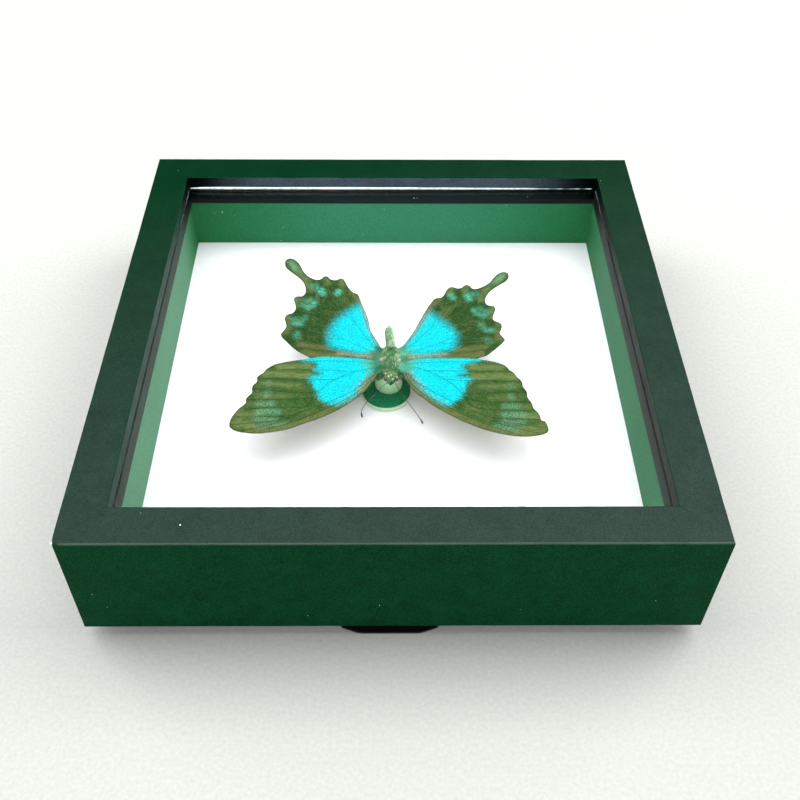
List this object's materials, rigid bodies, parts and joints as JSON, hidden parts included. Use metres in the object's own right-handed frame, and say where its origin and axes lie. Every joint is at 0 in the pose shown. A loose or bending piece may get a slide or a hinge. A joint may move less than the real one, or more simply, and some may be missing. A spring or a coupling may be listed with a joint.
{
  "type": "framed butterfly specimen",
  "caption": "Square deep box frame with a spread swallowtail butterfly glued to a small pedestal over a white board, behind glass, with a sawtooth hanger on its back.",
  "frame": {"origin": "on the surface that the frame lies on, under the middle of the frame; the hanger's raised strip reaches down to it", "axes": "+Z out of the glass, -Y towards the butterfly's head, which is the frame's top edge when it hangs, +X to the right with the head towards the viewer"},
  "size_m": [0.178, 0.178, 0.045],
  "materials": {
    "frame_paint": "satin black-green paint",
    "glass": "clear float",
    "liner": "matte",
    "white_board": "matte",
    "hardboard": "matte",
    "bright_steel": "zinc plated",
    "black_steel": "satin black",
    "pale_foam": "matte",
    "dark_felt": "matte",
    "body_scales": "downy",
    "wing_scales": "scaled, iridescent blue centre",
    "chitin": "satin"
  },
  "bodies": {
    "root": {"rail_near": "frame_paint", "rail_far": "frame_paint", "rail_left": "frame_paint", "rail_right": "frame_paint", "glass_pane": "glass", "spacer_near": "liner", "spacer_far": "liner", "spacer_left": "liner", "spacer_right": "liner", "mount_board": "white_board", "backing_board": "hardboard", "framer_point_1": "bright_steel", "framer_point_2": "bright_steel", "framer_point_3": "bright_steel", "framer_point_4": "bright_steel", "framer_point_5": "bright_steel", "framer_point_6": "bright_steel", "framer_point_7": "bright_steel", "framer_point_8": "bright_steel", "sawtooth_hanger": "black_steel", "hanger_nail_left": "bright_steel", "hanger_nail_right": "bright_steel", "pedestal_pad": "pale_foam", "pedestal_disc": "dark_felt", "pedestal_stub": "pale_foam", "butterfly_body": "body_scales", "forewing_left": "wing_scales", "forewing_right": "wing_scales", "hindwing_left": "wing_scales", "hindwing_right": "wing_scales", "antenna_left": "chitin", "antenna_right": "chitin"}
  },
  "joints": []
}
